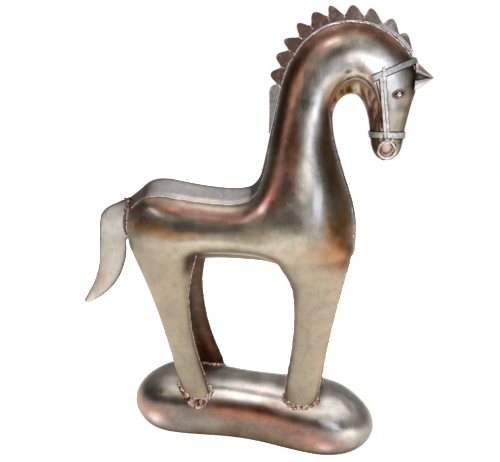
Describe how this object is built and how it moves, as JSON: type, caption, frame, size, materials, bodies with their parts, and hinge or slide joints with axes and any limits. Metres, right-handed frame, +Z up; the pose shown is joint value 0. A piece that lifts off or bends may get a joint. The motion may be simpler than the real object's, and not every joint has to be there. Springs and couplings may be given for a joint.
{
  "type": "scrap metal horse sculpture",
  "caption": "Standing horse welded from dished sheet metal, with an arched neck, toothed mane plate, blade tail and bridle, on a pillow-shaped base.",
  "frame": {"origin": "middle of the base's flat underside, where the middle plane crosses it", "axes": "+X the way the horse faces, +Y its left side, +Z up"},
  "size_m": [0.7074, 0.175, 0.8425],
  "materials": {
    "base_sheet": "brushed, with copper-coloured heat tint",
    "body_sheet": "brushed champagne sheet with copper and amber heat tint",
    "tail_sheet": "brushed",
    "mane_sheet": "brown heat tint, worn bright at the edges",
    "bridle_strap": "brushed, dark in the corners",
    "fittings": "polished by handling"
  },
  "bodies": {
    "root": {"base": "base_sheet", "body": "body_sheet", "tail": "tail_sheet", "mane_crest": "mane_sheet", "mane_tongue": "mane_sheet", "crown_strap": "bridle_strap", "noseband": "bridle_strap", "cheek_strap_right": "bridle_strap", "cheek_strap_left": "bridle_strap", "ring_hanger_right": "bridle_strap", "ring_hanger_left": "bridle_strap", "bit_ring_right": "fittings", "bit_ring_left": "fittings", "eyelids_right": "fittings", "eyelids_left": "fittings", "eye_right": "fittings", "eye_left": "fittings", "ear_right": "tail_sheet", "ear_left": "tail_sheet"}
  },
  "joints": []
}
